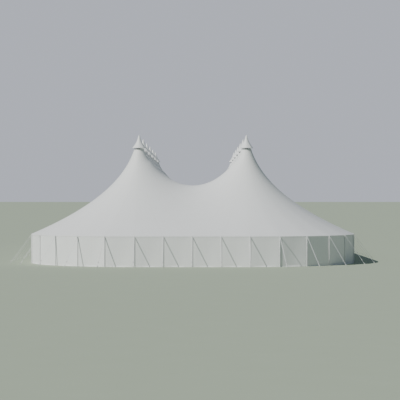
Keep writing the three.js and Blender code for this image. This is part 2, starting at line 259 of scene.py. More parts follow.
# Spots a metre in the finishes' textures.
STREAK_SPOTS, CLOUD_SPOTS, DULL_SPOTS = 14.0, 1.6, 12.0
SCRATCH_SPOTS, SOIL_SPOTS, FLOOR_SPOTS = 260.0, 30.0, 3.0
# How deep a finish's relief is, and how strongly it shows.
CLOTH_BUMP, FINE_BUMP = (0.0025, 0.6), (0.0002, 0.5)

# Floor, light and camera, as measured from the photograph.
FLOOR_HALF = 600.0
FLOOR_LEVEL = -0.0005
FLOOR_COLOUR = (0.40, 0.46, 0.35)
FLOOR_TONES = ((0.385, 0.445, 0.335, 1.0), (0.415, 0.475, 0.365, 1.0))
SKY_SEEN = (0.53, 0.56, 0.635, 1.0)
SKY_FILL = (0.76, 0.955, 1.2, 1.0)
FILL_STRENGTH = 0.2
SUN_DIRECTION = (-0.612, -0.461, 0.643)
SUN_COLOUR = (1.0, 0.985, 0.96)
SUN_STRENGTH = 4.3
SUN_WIDTH = math.radians(0.25)
CAMERA_PLACE = (0.0945, -22.62, 0.811)
LENS_MM = 131.85
SENSOR_MM = 36.0
VIEW_END = 1000.0


# Small tools for node trees


class Number:
    """A number in a node tree. Arithmetic on it adds Math nodes."""

    def __init__(self, socket):
        self.socket = socket

    def math(self, operation, *others):
        return calculated(self.socket.id_data, operation, self, *others)

    def __add__(self, other):
        return self.math("ADD", other)

    def __sub__(self, other):
        return self.math("SUBTRACT", other)

    def __rsub__(self, other):
        return calculated(self.socket.id_data, "SUBTRACT", other, self)

    def __mul__(self, other):
        return self.math("MULTIPLY", other)

    def __truediv__(self, other):
        return self.math("DIVIDE", other)

    def __pow__(self, other):
        return self.math("POWER", other)

    def __abs__(self):
        return self.math("ABSOLUTE")

    def clamped(self):
        return self.math("MAXIMUM", 0.0).math("MINIMUM", 1.0)

    __radd__ = __add__
    __rmul__ = __mul__


def plug(value, socket):
    """Puts a Number, a socket or a plain value into an input."""
    if isinstance(value, Number):
        value = value.socket
    if isinstance(value, bpy.types.NodeSocket):
        socket.id_data.links.new(value, socket)
    else:
        socket.default_value = value


def added(tree, kind, inputs=(), output=0, **settings):
    """Adds a node with its settings, and its inputs by name or place. Gives one output, or all for None."""
    node = tree.nodes.new(kind)
    for name, value in settings.items():
        setattr(node, name, value)
    for key, value in dict(inputs).items():
        plug(value, node.inputs[key])
    return node.outputs if output is None else node.outputs[output]


def grouped(tree, group, inputs):
    """Adds a group to a tree of its own kind, and gives its outputs."""
    kind = "GeometryNodeGroup" if group.bl_idname == "GeometryNodeTree" else "ShaderNodeGroup"
    return added(tree, kind, inputs, None, node_tree=group)


def calculated(tree, operation, *values):
    return Number(added(tree, "ShaderNodeMath", enumerate(values), operation=operation))


def numbers(outputs, *names):
    return [Number(outputs[name]) for name in names]


def axes_of(tree, vector):
    return numbers(added(tree, "ShaderNodeSeparateXYZ", {0: vector}, None), "X", "Y", "Z")


def smooth_step(value, low, high):
    """0 below low, 1 above high and a smooth rise between them."""
    inputs = {"Value": value, "From Min": low, "From Max": high}
    tree = value.socket.id_data
    return Number(added(tree, "ShaderNodeMapRange", inputs, interpolation_type="SMOOTHSTEP"))


def new_group(name, kind, inputs, outputs, output_kind):
    """A node group with named sockets: (the tree, its inputs, where its results go)."""
    tree = bpy.data.node_groups.new(name, kind)
    for title, socket_kind, start in inputs:
        socket = tree.interface.new_socket(title, in_out="INPUT", socket_type="NodeSocket" + socket_kind)
        if start is not None:
            socket.default_value = start
    for title in outputs:
        tree.interface.new_socket(title, in_out="OUTPUT", socket_type="NodeSocket" + output_kind)
    given = added(tree, "NodeGroupInput", output=None)
    return tree, given, tree.nodes.new("NodeGroupOutput").inputs


# Small tools for pieces


def plain_piece(name, corners, faces=(), flat_map=None, edges=()):
    """A mesh object at the origin. flat_map gives each face's corners their places in the cloth map."""
    mesh = bpy.data.meshes.new(name)
    mesh.from_pydata(corners, edges, faces)
    if flat_map:
        layer = mesh.uv_layers.new(name="cloth")
        layer.data.foreach_set("uv", [number for place in flat_map for number in place])
    mesh.validate()
    mesh.shade_smooth()
    piece = bpy.data.objects.new(name, mesh)
    bpy.context.scene.collection.objects.link(piece)
    return piece


def worked(piece, tree, values):
    """Runs a geometry tree on a piece with its named inputs set, and leaves a plain mesh."""
    modifier = piece.modifiers.new(tree.name, "NODES")
    modifier.node_group = tree
    sockets = {item.name: item.identifier for item in tree.interface.items_tree if item.in_out == "INPUT"}
    for name, value in values.items():
        modifier[sockets[name]] = value
    evaluated = piece.evaluated_get(bpy.context.evaluated_depsgraph_get())
    mesh = bpy.data.meshes.new_from_object(evaluated)
    mesh.name = piece.name
    piece.modifiers.clear()
    piece.data = mesh
    return piece


def crisp(piece):
    """Keeps the rims of a cloth sharp, and the rest of it smooth."""
    piece.data.set_sharp_from_angle(angle=CRISP_ANGLE)


def handed_over(piece, slot, *nodes):
    """A finished piece rides on the tent, and stands for the frame's nodes."""
    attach(piece, "root")
    if nodes:
        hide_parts(*nodes)
    return piece


def between(start, end, share):
    return start + (end - start) * share


def outward(angle):
    return Vector((math.cos(angle), math.sin(angle), 0.0))


def upward(height):
    return Vector((0.0, 0.0, height))


def sideways(width):
    return Vector((0.0, width, 0.0))


def around(count, start=0.0):
    """Angles evenly round a circle."""
    return [2 * math.pi * (i + start) / count for i in range(count)]


def lofted(corners, sides, closed=False):
    """Corners in rings of so many sides, and the faces between them. It has two ends unless it is closed."""
    rings = len(corners) // sides
    faces = []
    for j in range(rings if closed else rings - 1):
        low, high = j * sides, (j + 1) % rings * sides
        for i in range(sides):
            k = (i + 1) % sides
            faces.append((low + i, low + k, high + k, high + i))
    if not closed:
        faces.append(tuple(reversed(range(sides))))
        faces.append(tuple(range((rings - 1) * sides, rings * sides)))
    return corners, faces


def turned(profile, sides, closed=False, scallop=None):
    """A profile of (radius, height) turned about Z. Listed bottom to top, it faces out."""
    corners = []
    for radius, height in profile:
        for angle in around(sides):
            r = radius * (scallop(angle) if scallop else 1.0)
            corners.append((r * math.cos(angle), r * math.sin(angle), height))
    return lofted(corners, sides, closed)


def hoop(size, scallop=None):
    """A ring with a rounded section."""
    radius, height, out, up, section_sides, sides = size
    section = [(radius + out * math.cos(a), height + up * math.sin(a)) for a in around(section_sides)]
    return turned(section, sides, True, scallop)


def collar(radius, height, size, sides):
    half, out, chamfer = size
    outer = radius + out
    profile = [(radius, -half), (outer, chamfer - half), (outer, half - chamfer), (radius, half)]
    return moved(turned(profile, sides), z=height)


def boxed(low, high):
    """A block between two corners."""
    rim = ((low[0], low[1]), (high[0], low[1]), (high[0], high[1]), (low[0], high[1]))
    return lofted([(x, y, z) for z in (low[2], high[2]) for x, y in rim], 4)


def moved(shape, x=0.0, y=0.0, z=0.0):
    corners, faces = shape
    return [(cx + x, cy + y, cz + z) for cx, cy, cz in corners], faces


def bar(points, plane, radius, sides, start=0.0):
    """A round bar through points in a plane, which is given by its normal."""
    corners = []
    for i, point in enumerate(points):
        along = (points[min(i + 1, len(points) - 1)] - points[max(i - 1, 0)]).normalized()
        side = along.cross(plane)
        ring = [math.cos(a) * side + math.sin(a) * plane for a in around(sides, start)]
        corners += [point + radius * way for way in ring]
    return lofted(corners, sides)


def rod(start, end, radius, sides):
    """A straight bar between two points, with flats on its top and sides."""
    start, end = Vector(start), Vector(end)
    along = (end - start).normalized()
    side = along.cross(upward(1) if abs(along.z) < 0.9 else outward(0)).normalized()
    return bar([start, end], side.cross(along), radius, sides, 0.5)


def bent_rod(points, radius, sides):
    """A round bar through points that lie in one plane."""
    points = [Vector(point) for point in points]
    plane = Vector((0, 0, 0))
    for a, b, c in zip(points, points[1:], points[2:]):
        plane += (b - a).cross(c - b)
    return bar(points, plane.normalized(), radius, sides)


def assembled(name, shapes):
    """One plain piece from several (corners, faces), with outward faces."""
    corners, faces = [], []
    for shape_corners, shape_faces in shapes:
        faces += [tuple(len(corners) + i for i in face) for face in shape_faces]
        corners += shape_corners
    piece = plain_piece(name, corners, faces)
    work = bmesh.new()
    work.from_mesh(piece.data)
    bmesh.ops.recalc_face_normals(work, faces=work.faces)
    work.to_mesh(piece.data)
    work.free()
    piece.data.shade_smooth()
    crisp(piece)
    return piece


def smooth_through(points, steps):
    """More points on a smooth line through the given ones."""
    padded = [points[0], *points, points[-1]]
    line = []
    for i in range(1, len(padded) - 2):
        for k in range(steps):
            t = k / steps
            place = []
            for p, q, r, s in zip(*padded[i - 1 : i + 3]):
                bend = (2 * p - 5 * q + 4 * r - s) * t * t + (3 * q - p - 3 * r + s) * t**3
                place.append(0.5 * (2 * q + (r - p) * t + bend))
            line.append(tuple(place))
    return line + [points[-1]]


# Finishes


def lit_finish(name, colour, roughness, metallic=0.0):
    """A material with one shader: (the material, its tree, the shader's inputs)."""
    finish = bpy.data.materials.new(name)
    finish.use_nodes = True
    finish.diffuse_color = (*colour, 1.0)
    shader = finish.node_tree.nodes["Principled BSDF"].inputs
    shader["Base Color"].default_value = (*colour, 1.0)
    shader["Roughness"].default_value = roughness
    shader["Metallic"].default_value = metallic
    return finish, finish.node_tree, shader


def texture(tree, vector, scale, detail=3.0, roughness=0.5, stretch=(1.0, 1.0, 1.0)):
    """Soft noise of 0 to 1 at so many spots a metre."""
    spread = added(tree, "ShaderNodeMapping", {"Vector": vector, "Scale": stretch})
    inputs = {"Vector": spread, "Scale": scale, "Detail": detail, "Roughness": roughness}
    return Number(added(tree, "ShaderNodeTexNoise", inputs))


def blended(tree, share, first, second):
    """A colour between two, by a share of 0 to 1."""
    return added(tree, "ShaderNodeMix", {"Factor": share, 6: first, 7: second}, 2, data_type="RGBA")


def raised(tree, shader, height, bump):
    """Puts a height field on the shader's normal."""
    inputs = {"Height": height, "Distance": bump[0], "Strength": bump[1]}
    plug(added(tree, "ShaderNodeBump", inputs), shader["Normal"])


def shader_group(name, inputs, outputs):
    return new_group(name, "ShaderNodeTree", inputs, outputs, "Float")


def make_weave_group():
    """A coated weave: threads both ways under the coating, and long soft tension marks."""
    inputs = [("Place", "Vector", None), ("Threads", "Float", 900.0), ("Marks", "Float", 5.0)]
    tree, given, result = shader_group("coated_weave", inputs, ["Height", "Tone"])
    x, y, z = axes_of(tree, given["Place"])
    turn = 2 * math.pi * Number(given["Threads"])
    threads = (x * turn).math("SINE") * ((z + y) * turn).math("SINE")
    mottle = texture(tree, given["Place"], Number(given["Marks"]) * 9.0, detail=4.0)
    broad = texture(tree, given["Place"], given["Marks"], detail=2.0)
    plug(threads * 0.04 + broad * 0.9 + mottle * 0.1, result["Height"])
    plug((mottle - 0.5) * 0.5 + (broad - 0.5), result["Tone"])
    return tree


def make_seam_group():
    """Welded overlaps: a raised, whiter band beside each seam line, with its edge a shade darker."""
    inputs = [("Distance", "Float", 0.0), ("Half Width", "Float", 0.003)]
    tree, given, result = shader_group("welded_seam", inputs, ["Band", "Edge"])
    distance, half = numbers(given, "Distance", "Half Width")
    plug(1.0 - smooth_step(distance, half * 0.8, half * 1.1), result["Band"])
    plug((1.0 - smooth_step(abs(distance - half), 0.0, half * 0.45)).clamped(), result["Edge"])
    return tree


def make_weather_group():
    """Rain streaks that run down the cloth, and dust that gathers low on it: 0 for clean, 1 for dirty."""
    inputs = [("Place", "Vector", None), ("Run", "Vector", None)]
    inputs += [("Low", "Float", 0.0), ("High", "Float", 0.1)]
    tree, given, result = shader_group("weather_marks", inputs, ["Dirt"])
    height = axes_of(tree, given["Place"])[2]
    streaks = texture(tree, given["Run"], STREAK_SPOTS, roughness=0.6, stretch=(1.0, 0.12, 1.0))
    clouds = texture(tree, given["Place"], CLOUD_SPOTS)
    near_low = 1.0 - smooth_step(height, *numbers(given, "Low", "High"))
    marks = smooth_step(streaks, 0.5, 0.85) * 0.5 + smooth_step(clouds, 0.45, 0.8) * 0.35
    plug((marks + near_low * (0.3 + 0.7 * clouds)).clamped(), result["Dirt"])
    return tree


def make_zinc_group():
    """Zinc coating: crystals of many tones, dull patches and fine scratches."""
    inputs = [("Place", "Vector", None), ("Crystals", "Float", 180.0)]
    tree, given, result = shader_group("zinc_crystals", inputs, ["Tone", "Dull", "Height"])
    inputs = {"Vector": given["Place"], "Scale": given["Crystals"]}
    cells = added(tree, "ShaderNodeTexVoronoi", inputs, "Color", feature="F1")
    tone = Number(added(tree, "ShaderNodeSeparateColor", {0: cells}))
    dull = texture(tree, given["Place"], DULL_SPOTS, detail=4.0, roughness=0.6)
    scratches = texture(tree, given["Place"], SCRATCH_SPOTS, detail=2.0, stretch=(1.0, 1.0, 0.06))
    plug(tone, result["Tone"])
    plug(smooth_step(dull, 0.4, 0.7), result["Dull"])
    plug(tone * 0.3 + scratches * 0.7, result["Height"])
    return tree


def cloth_finish(name, groups, white, double, dirt, roughness, seam_half, dust_low, dust_high):
    """Coated membrane. The cloth map gives the way to a seam, and the way down the cloth."""
    finish, tree, shader = lit_finish(name, white, roughness)
    weave, seam, weather = groups
    place = added(tree, "ShaderNodeTexCoord", output="Object")
    flat = added(tree, "ShaderNodeUVMap", uv_map="cloth")
    height, tone = numbers(grouped(tree, weave, {"Place": place}), "Height", "Tone")
    inputs = {"Distance": axes_of(tree, flat)[0], "Half Width": seam_half}
    band, edge = numbers(grouped(tree, seam, inputs), "Band", "Edge")
    inputs = {"Place": place, "Run": flat, "Low": dust_low, "High": dust_high}
    soiled = Number(grouped(tree, weather, inputs)["Dirt"])
    colour = blended(tree, band * SEAM_WHITENESS, (*white, 1.0), (*double, 1.0))
    shade = (edge * EDGE_SHADE + soiled * SOIL_SHADE + tone * TONE_SHADE).clamped()
    plug(blended(tree, shade, colour, (*dirt, 1.0)), shader["Base Color"])
    dullness = roughness + soiled * SOIL_DULLS - band * SEAM_SHINE + tone * TONE_DULLS
    plug(dullness.clamped(), shader["Roughness"])
    shader["Specular IOR Level"].default_value = CLOTH_SPECULAR
    raised(tree, shader, height + band * SEAM_RELIEF, CLOTH_BUMP)
    return finish


def zinc_finish(name, zinc, pale, dark, roughness, metallic, crystals):
    """Galvanised steel between two tones."""
    finish, tree, shader = lit_finish(name, pale, roughness, metallic)
    place = added(tree, "ShaderNodeTexCoord", output="Object")
    coating = grouped(tree, zinc, {"Place": place, "Crystals": crystals})
    tone, dull = numbers(coating, "Tone", "Dull")
    colour = blended(tree, (tone * 0.6 + dull * 0.4).clamped(), (*pale, 1.0), (*dark, 1.0))
    plug(colour, shader["Base Color"])
    plug((roughness + dull * 0.2 + tone * 0.1).clamped(), shader["Roughness"])
    raised(tree, shader, coating["Height"], FINE_BUMP)
    return finish


def webbing_finish(name, colour, shade, ribs):
    """Woven polyester strap or cord: fine ribs across it, with a little soil."""
    finish, tree, shader = lit_finish(name, colour, 0.75)
    place = added(tree, "ShaderNodeTexCoord", output="Object")
    x, y, z = axes_of(tree, place)
    rib = ((x + y + z) * (2 * math.pi * ribs)).math("SINE") * 0.5 + 0.5
    soil = texture(tree, place, SOIL_SPOTS)
    worn = blended(tree, (rib * 0.3 + soil * 0.4).clamped(), (*colour, 1.0), (*shade, 1.0))
    plug(worn, shader["Base Color"])
    plug((0.68 + soil * 0.2).clamped(), shader["Roughness"])
    raised(tree, shader, rib, FINE_BUMP)
    return finish


def make_finishes():
    """Every finish by its name."""
    groups, zinc = (make_weave_group(), make_seam_group(), make_weather_group()), make_zinc_group()
    made = {name: cloth_finish(name, groups, *values) for name, values in CLOTH_FINISHES.items()}
    made.update({name: zinc_finish(name, zinc, *values) for name, values in ZINC_FINISHES.items()})
    made.update({name: webbing_finish(name, *values) for name, values in WEBBING_FINISHES.items()})
    return made


# Trees that shape and repeat pieces


def geometry_group(name, start, inputs):
    """A group that takes geometry under one name and gives one result: (the tree, its inputs, the result)."""
    inputs = [(start, "Geometry", None), *inputs]
    tree, given, result = new_group(name, "GeometryNodeTree", inputs, ["Made"], "Geometry")
    return tree, given, result["Made"]


def finished(tree, geometry, given, made):
    """The end of a tree: its geometry takes the finish."""
    inputs = {"Geometry": geometry, "Material": given["Finish"]}
    plug(added(tree, "GeometryNodeSetMaterial", inputs), made)


def finished_copies(tree, points, rotation, given, made):
    """The end of a repeating tree: copies on points, made real and given their finish."""
    source = added(tree, "GeometryNodeObjectInfo", {"Object": given["Copy"]}, "Geometry")
    inputs = {"Points": points, "Instance": source, "Rotation": rotation}
    copies = added(tree, "GeometryNodeInstanceOnPoints", inputs)
    finished(tree, added(tree, "GeometryNodeRealizeInstances", {0: copies}), given, made)


def make_roof_form_group():
    """Lifts a plan onto the roof's surface: flared cones on the king poles, joined by saddles."""
    sizes = {
        "Module": MODULE,
        "Pole Line": POLE_X,
        "Last Row": LAST_ROW_Y,
        "Bay Angle": BAY_ANGLE,
        "Eave Height": EAVE_HEIGHT,
        "Ring Height": RING_HEIGHT,
        "Ring Radius": RING_RADIUS,
        "Flare Power": FLARE_POWER,
        "Saddle Reach": SADDLE_REACH,
        "Round Neck": ROUND_NECK,
    }
    inputs = [(name, "Float", size) for name, size in sizes.items()]
    tree, given, made = geometry_group("roof_form", "Plan", inputs)
    module, pole_line, last_row, bay, eave, top, ring, power, saddle_reach, neck = numbers(given, *sizes)
    x, y, _ = axes_of(tree, added(tree, "GeometryNodeInputPosition"))

    # At a round end the eave is straight from side pole to side pole.
    out_x = (abs(x) - pole_line).math("MAXIMUM", 0.0)
    out_y = (abs(y) - last_row).math("MAXIMUM", 0.0)
    distance = (out_x**2.0 + out_y**2.0) ** 0.5
    from_middle = out_y.math("ARCTAN2", out_x).math("MODULO", bay) - bay * 0.5
    stretch = from_middle.math("COSINE") / (bay * 0.5).math("COSINE")
    outside = distance * (1.0 + (stretch - 1.0) * (distance / module) ** 2.0)

    # The saddles between poles, which fade out towards the eave.
    across = (x * math.pi / module).math("COSINE") ** 2.0 * abs(x).math("LESS_THAN", pole_line)
    along = (y * math.pi / module).math("COSINE") ** 2.0 * abs(y).math("LESS_THAN", last_row)
    saddle = 1.0 - (1.0 - across) * (1.0 - along)
    fade = 1.0 - (outside / module) ** 2.0
    reach = (outside**2.0 + saddle_reach**2.0 * saddle * fade).math("MAXIMUM", 0.0) ** 0.5

    # A round neck at each king pole.
    row = ((y + last_row) / module).math("ROUND").math("MAXIMUM", 0.0).math("MINIMUM", ROWS - 1.0)
    pole_x = pole_line * (1.0 - x.math("LESS_THAN", 0.0) * 2.0)
    radius = ((x - pole_x) ** 2.0 + (y - (row * module - last_row)) ** 2.0) ** 0.5
    mixed = radius + (reach - radius) * smooth_step(radius, ring, ring + neck)
    fall = (mixed**power - ring**power) / (module**power - ring**power)
    rise = added(tree, "ShaderNodeCombineXYZ", {"Z": top - (top - eave) * fall})
    plug(added(tree, "GeometryNodeSetPosition", {"Geometry": given["Plan"], "Offset": rise}), made)
    return tree


def make_cloth_tree():
    """Gives a single layer its thickness on the inner side, as one closed smooth shell with its finish."""
    inputs = [("Thickness", "Float", ROOF_CLOTH), ("Finish", "Material", None)]
    tree, given, made = geometry_group("cloth_shell", "Layer", inputs)
    inputs = {"Mesh": given["Layer"], "Offset Scale": -1.0 * Number(given["Thickness"]), "Individual": False}
    inner = added(tree, "GeometryNodeExtrudeMesh", inputs, mode="FACES")
    both = tree.nodes.new("GeometryNodeJoinGeometry")
    plug(added(tree, "GeometryNodeFlipFaces", {"Mesh": inner}), both.inputs[0])
    plug(given["Layer"], both.inputs[0])
    inputs = {"Geometry": both.outputs[0], "Distance": CLOTH_MERGE}
    merged = added(tree, "GeometryNodeMergeByDistance", inputs)
    finished(tree, added(tree, "GeometryNodeSetShadeSmooth", {0: merged}), given, made)
    return tree


def make_roof_tree(roof_form, cloth_tree):
    """Cloth on the roof's surface from its plan: the sections themselves, and what lies on them."""
    inputs = [("Clearance", "Float", 0.0), ("Thickness", "Float", ROOF_CLOTH), ("Finish", "Material", None)]
    tree, given, made = geometry_group("lay_on_roof", "Plan", inputs)
    lifted = grouped(tree, roof_form, {"Plan": given["Plan"]})[0]
    inputs = {0: added(tree, "GeometryNodeInputNormal"), "Scale": given["Clearance"]}
    clear = added(tree, "ShaderNodeVectorMath", inputs, operation="SCALE")
    layer = added(tree, "GeometryNodeSetPosition", {"Geometry": lifted, "Offset": clear})
    inputs = {"Layer": layer, "Thickness": given["Thickness"], "Finish": given["Finish"]}
    plug(grouped(tree, cloth_tree, inputs)[0], made)
    return tree


def make_standing_tree():
    """Stands a copy on each place, turned as the place's own turn says, with a little play."""
    inputs = [("Copy", "Object", None), ("Finish", "Material", None)]
    inputs += [("Play", "Float", 0.0), ("Seed", "Int", 1)]
    tree, given, made = geometry_group("stand_at_places", "Places", inputs)
    turn = added(tree, "GeometryNodeInputNamedAttribute", {"Name": "turn"}, data_type="FLOAT_VECTOR")
    inputs = {0: (-1.0, -1.0, -1.0), 1: (1.0, 1.0, 1.0), "Seed": given["Seed"]}
    play = added(tree, "FunctionNodeRandomValue", inputs, data_type="FLOAT_VECTOR")
    slack = added(tree, "ShaderNodeVectorMath", {0: play, "Scale": given["Play"]}, operation="SCALE")
    whole = added(tree, "ShaderNodeVectorMath", {0: turn, 1: slack}, operation="ADD")
    rotation = added(tree, "FunctionNodeEulerToRotation", {0: whole})
    finished_copies(tree, given["Places"], rotation, given, made)
    return tree


def make_lacing_tree(roof_form):
    """Copies spaced along a plan line that is lifted onto the roof, each lying on the cloth."""
    inputs = [("Copy", "Object", None), ("Finish", "Material", None)]
    inputs += [("Spacing", "Float", LACE_SPACING), ("Across", "Vector", (0.0, 1.0, 0.0))]
    tree, given, made = geometry_group("lace_on_roof", "Plan", inputs)
    lifted = grouped(tree, roof_form, {"Plan": given["Plan"]})[0]
    curve = added(tree, "GeometryNodeMeshToCurve", {"Mesh": lifted})
    inputs = {"Curve": curve, "Length": given["Spacing"]}
    points = added(tree, "GeometryNodeCurveToPoints", inputs, None, mode="LENGTH")
    inputs = {0: points["Tangent"], 1: given["Across"]}
    rotation = added(tree, "FunctionNodeAxesToRotation", inputs, primary_axis="X", secondary_axis="Y")
    finished_copies(tree, points["Points"], rotation, given, made)
    return tree


def make_belt_tree():
    """A flat belt on edge along a level path."""
    inputs = [("Height", "Float", BELT_HEIGHT), ("Thickness", "Float", BELT_THICKNESS)]
    inputs.append(("Finish", "Material", None))
    tree, given, made = geometry_group("run_belt", "Path", inputs)
    curve = added(tree, "GeometryNodeMeshToCurve", {"Mesh": given["Path"]})
    level = added(tree, "GeometryNodeSetCurveNormal", {"Curve": curve}, mode="Z_UP")
    inputs = {"Width": given["Thickness"], "Height": given["Height"]}
    section = added(tree, "GeometryNodeCurvePrimitiveQuadrilateral", inputs, mode="RECTANGLE")
    inputs = {"Curve": level, "Profile Curve": section, "Fill Caps": True}
    finished(tree, added(tree, "GeometryNodeCurveToMesh", inputs), given, made)
    return tree


# The roof


def quarter_edge(reach_x, reach_y):
    """Outer edge of one quarter of a king pole's field, in steps of which GORE_STEPS make a gore."""
    if reach_x == reach_y == MODULE:
        angles = [BAY_ANGLE * i for i in range(BAYS_PER_CORNER + 1)]
        corners = [(MODULE * math.cos(a), MODULE * math.sin(a)) for a in angles]
        counts = [GORE_STEPS] * BAYS_PER_CORNER
    else:
        corners = [(reach_x, 0.0), (reach_x, reach_y), (0.0, reach_y)]
        steps = GORE_STEPS * GORES_PER_QUARTER
        first = round(steps * reach_y / (reach_x + reach_y))
        counts = [first, steps - first]
    edge = [corners[0]]
    for start, end, count in zip(corners, corners[1:], counts):
        for i in range(1, count + 1):
            edge.append(tuple(a + (b - a) * i / count for a, b in zip(start, end)))
    return edge


def quarter_lines(pole_x, pole_y, turn_x, turn_y):
    """Lines of plan points from the bale ring out to the edge, and a function for their cloth map places."""
    reach_x = MODULE if turn_x * pole_x > 0 else MODULE / 2
    reach_y = MODULE if turn_y * pole_y > 0 and abs(abs(pole_y) - LAST_ROW_Y) < 1e-6 else MODULE / 2
    edge = quarter_edge(reach_x, reach_y)
    whole = RISE_GROWTH**RISE_STEPS - 1
    shares = [(RISE_GROWTH**i - 1) / whole for i in range(RISE_STEPS + 1)]
    lines = []
    for step, (edge_x, edge_y) in enumerate(edge):
        angle = math.pi / 2 * step / (len(edge) - 1)
        x, y = RING_RADIUS * math.cos(angle), RING_RADIUS * math.sin(angle)
        lines.append([(between(x, edge_x, share), between(y, edge_y, share)) for share in shares])

    def flat_place(i, j):
        low = min(i // GORE_STEPS * GORE_STEPS, len(lines) - 1)
        high = min(low + GORE_STEPS, len(lines) - 1)
        nearest = min(math.dist(lines[i][j], lines[low][j]), math.dist(lines[i][j], lines[high][j]))
        return nearest, math.dist(lines[i][j], lines[i][0])

    return [[(pole_x + turn_x * x, pole_y + turn_y * y) for x, y in line] for line in lines], flat_place


def section_plan(name, quarters, low_y, high_y):
    """The plan of one roof section, trimmed where it is laced to its neighbours."""
    corners, faces, flat_map, seen = [], [], [], {}

    def corner(x, y):
        key = (round(x * 1e5), round(y * 1e5))
        if key not in seen:
            seen[key] = len(corners)
            trim = JOINT_GAP / 2 * ((abs(y - low_y) < 1e-4) - (abs(y - high_y) < 1e-4))
            corners.append((x, y + trim, 0.0))
        return seen[key]

    for pole_x, pole_y, turn_x, turn_y in quarters:
        lines, flat_place = quarter_lines(pole_x, pole_y, turn_x, turn_y)
        for i in range(len(lines) - 1):
            for j in range(RISE_STEPS):
                places = [(i, j), (i, j + 1), (i + 1, j + 1), (i + 1, j)]
                if turn_x * turn_y < 0:
                    places.reverse()
                faces.append(tuple(corner(*lines[a][b]) for a, b in places))
                flat_map += [flat_place(a, b) for a, b in places]
    return plain_piece(name, corners, faces, flat_map)


def build_roof(tree, finish):
    """Seven welded sheets, laced together along the pole rows and pulled taut over them."""
    sections = [
        ("front_end_roof", "roof_front_end", -math.inf, ROW_PLACES[0]),
        ("rear_end_roof", "roof_rear_end", ROW_PLACES[-1], math.inf),
    ]
    for i in range(1, ROWS):
        sections.append((f"middle_roof_{i}", f"roof_middle_{i}", ROW_PLACES[i - 1], ROW_PLACES[i]))
    for name, node, low, high in sections:
        quarters = []
        for side, turn_x in ((-1, -1), (-1, 1), (1, -1), (1, 1)):
            ends = [(y, turn_y) for y, turn_y in ((low, 1), (high, -1)) if math.isfinite(y)]
            quarters += [(side * POLE_X, y, turn_x, turn_y) for y, turn_y in ends]
        sheet = section_plan(name, quarters, low, high)
        worked(sheet, tree, {"Clearance": 0.0, "Thickness": ROOF_CLOTH, "Finish": finish})
        crisp(sheet)
        handed_over(sheet, "roof_membrane", node)


def joint_spans():
    """Plan spans of each pole row's joint: eave to ring, ring to ring, ring to eave."""
    clear = RING_RADIUS + FLAP_FROM_RING
    edge = POLE_X + MODULE - FLAP_FROM_EAVE
    return [(-edge, -POLE_X - clear), (clear - POLE_X, POLE_X - clear), (POLE_X + clear, edge)]


def spread_along(start, end, steps):
    """Places from start to end, closer together near a king pole."""
    shares = [i / steps for i in range(steps + 1)]
    if start < 0 < end:
        shares = [0.5 - 0.5 * math.cos(math.pi * share) for share in shares]
    elif start < 0:
        shares = [1 - (1 - share) ** 2 for share in shares]
    else:
        shares = [share**2 for share in shares]
    return [between(start, end, share) for share in shares]


def build_joints(roof_tree, lacing_tree, finishes):
    """A cover flap over each laced joint, with the lacing's loops along its edge."""
    corners, faces, flat_map = [], [], []
    lace_corners, lace_edges = [], []
    for y in ROW_PLACES:
        for start, end in joint_spans():
            places = spread_along(start, end, FLAP_STEPS)
            first = len(corners)
            for x in places:
                corners += [(x, y + offset * FLAP_WIDTH / 2, 0.0) for offset in (-1, 0, 1)]
            for i in range(FLAP_STEPS):
                for k in (0, 1):
                    a = first + 3 * i + k
                    faces.append((a, a + 3, a + 4, a + 1))
                    patch = ((k, i), (k, i + 1), (k + 1, i + 1), (k + 1, i))
                    flat_map += [(FLAP_WIDTH / 2 * (b != 1), places[c]) for b, c in patch]
            first = len(lace_corners)
            lace_corners += [(x, y + FLAP_WIDTH / 2, 0.0) for x in places]
            lace_edges += [(first + i, first + i + 1) for i in range(FLAP_STEPS)]
    flaps = plain_piece("joint_cover_flaps", corners, faces, flat_map)
    values = {"Clearance": FLAP_CLEARANCE, "Thickness": FLAP_CLOTH, "Finish": finishes["roof_membrane"]}
    worked(flaps, roof_tree, values)
    crisp(flaps)
    handed_over(flaps, "roof_membrane")

    angles = [math.pi * i / LACE_STEPS for i in range(LACE_STEPS + 1)]
    arch = [(0.0, LACE_REACH * math.cos(a), LACE_RISE * math.sin(a)) for a in angles]
    loop = assembled("lace_loop", [bent_rod(arch, LACE_RADIUS, CORD_SIDES)])
    lacing = plain_piece("joint_lacing", lace_corners, edges=lace_edges)
    values = {"Copy": loop, "Finish": finishes["lacing_cord"], "Spacing": LACE_SPACING}
    handed_over(worked(lacing, lacing_tree, values), "roof_membrane")
    bpy.data.objects.remove(loop)


# The perimeter


def straight_run(start, end, bays, out):
    """Side pole stations from start to end, each (x, y, out_x, out_y)."""
    shares = [i / bays for i in range(bays + 1)]
    return [(between(start[0], end[0], share), between(start[1], end[1], share), *out) for share in shares]


def corner_run(turn_x, turn_y):
    """Side pole stations round a corner, in the same order round the tent as the straight runs."""
    angles = [BAY_ANGLE * i for i in range(BAYS_PER_CORNER + 1)]
    middle = (turn_x * POLE_X, turn_y * LAST_ROW_Y)
    run = [(*middle, turn_x * math.cos(angle), turn_y * math.sin(angle)) for angle in angles]
    return run if turn_x * turn_y > 0 else run[::-1]


